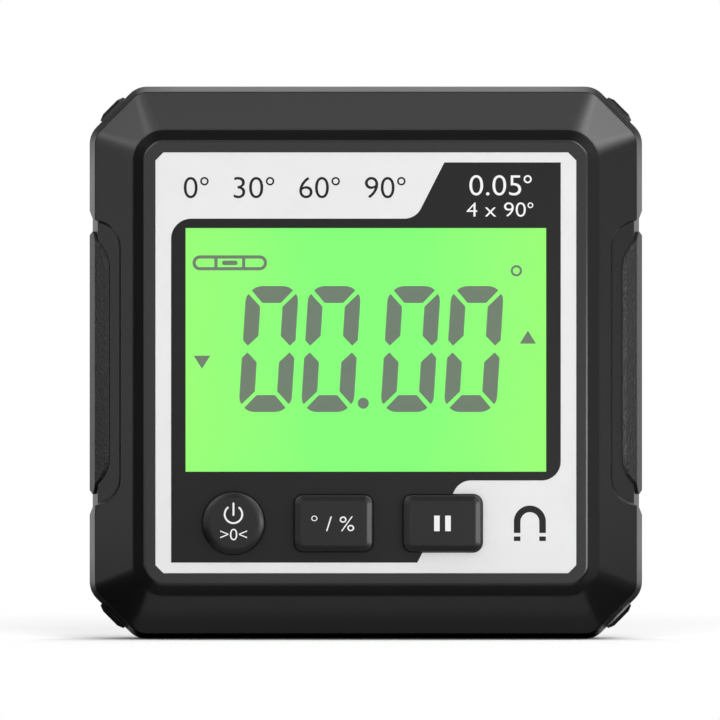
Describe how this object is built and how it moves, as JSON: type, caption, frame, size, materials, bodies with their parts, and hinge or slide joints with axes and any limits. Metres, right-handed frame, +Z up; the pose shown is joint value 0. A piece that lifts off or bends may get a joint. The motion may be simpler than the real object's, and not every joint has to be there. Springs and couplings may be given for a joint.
{
  "type": "digital angle gauge",
  "caption": "Square box level with a backlit display, push buttons, textured side grips, a battery door and a magnetic base, for reading the tilt of a surface.",
  "frame": {"origin": "middle of the footprint, on the base plane", "axes": "+Z up, the face with the display looks along -Y, +X to the right of a person facing the display"},
  "size_m": [0.06, 0.0328, 0.06],
  "materials": {
    "case_plastic": "fine moulded grain",
    "grip_rubber": "fine stipple",
    "label_film": "satin film with dark print",
    "clear_lens": "clear",
    "button_plastic": "fine moulded grain",
    "switch_plastic": "satin",
    "plunger_plastic": "satin",
    "display_green": "backlit",
    "light_guide": "frosted",
    "frame_plastic": "satin",
    "elastomer": "striped",
    "board_laminate": "solder mask",
    "chip_plastic": "satin",
    "screw_steel": "zinc plated",
    "contact_metal": "nickel plated",
    "cell_wrap": "printed sleeve",
    "magnet_metal": "nickel plated"
  },
  "bodies": {
    "case": {"front_housing": "case_plastic", "rear_cover": "case_plastic", "left_grip": "grip_rubber", "right_grip": "grip_rubber", "face_label": "label_film", "lcd_lens": "clear_lens", "power_switch": "switch_plastic", "unit_switch": "switch_plastic", "hold_switch": "switch_plastic", "lcd_glass": "display_green", "lcd_backlight": "light_guide", "lcd_frame": "frame_plastic", "lcd_connector": "elastomer", "circuit_board": "board_laminate", "tilt_sensor": "chip_plastic", "processor_chip": "chip_plastic", "board_screws": "screw_steel", "upper_battery": "cell_wrap", "lower_battery": "cell_wrap", "positive_contact": "contact_metal", "negative_contact": "contact_metal", "bridge_contact": "contact_metal", "case_screws": "screw_steel", "base_magnets": "magnet_metal"},
    "power_key": {"power_button": "button_plastic", "power_plunger": "plunger_plastic"},
    "unit_key": {"unit_button": "button_plastic", "unit_plunger": "plunger_plastic"},
    "hold_key": {"hold_button": "button_plastic", "hold_plunger": "plunger_plastic"},
    "door": {"battery_door": "case_plastic", "door_screw": "screw_steel"}
  },
  "joints": [
    {"name": "power_button_press", "type": "slide", "parent": "case", "child": "power_key", "axis": [0, 1, 0], "range_m": [0, 0.0004], "stiffness_N_per_m": 800},
    {"name": "unit_button_press", "type": "slide", "parent": "case", "child": "unit_key", "axis": [0, 1, 0], "range_m": [0, 0.0004], "stiffness_N_per_m": 800},
    {"name": "hold_button_press", "type": "slide", "parent": "case", "child": "hold_key", "axis": [0, 1, 0], "range_m": [0, 0.0004], "stiffness_N_per_m": 800},
    {"name": "battery_door_lift", "type": "slide", "parent": "case", "child": "door", "axis": [0, 1, 0], "range_m": [0, 0.015]}
  ]
}
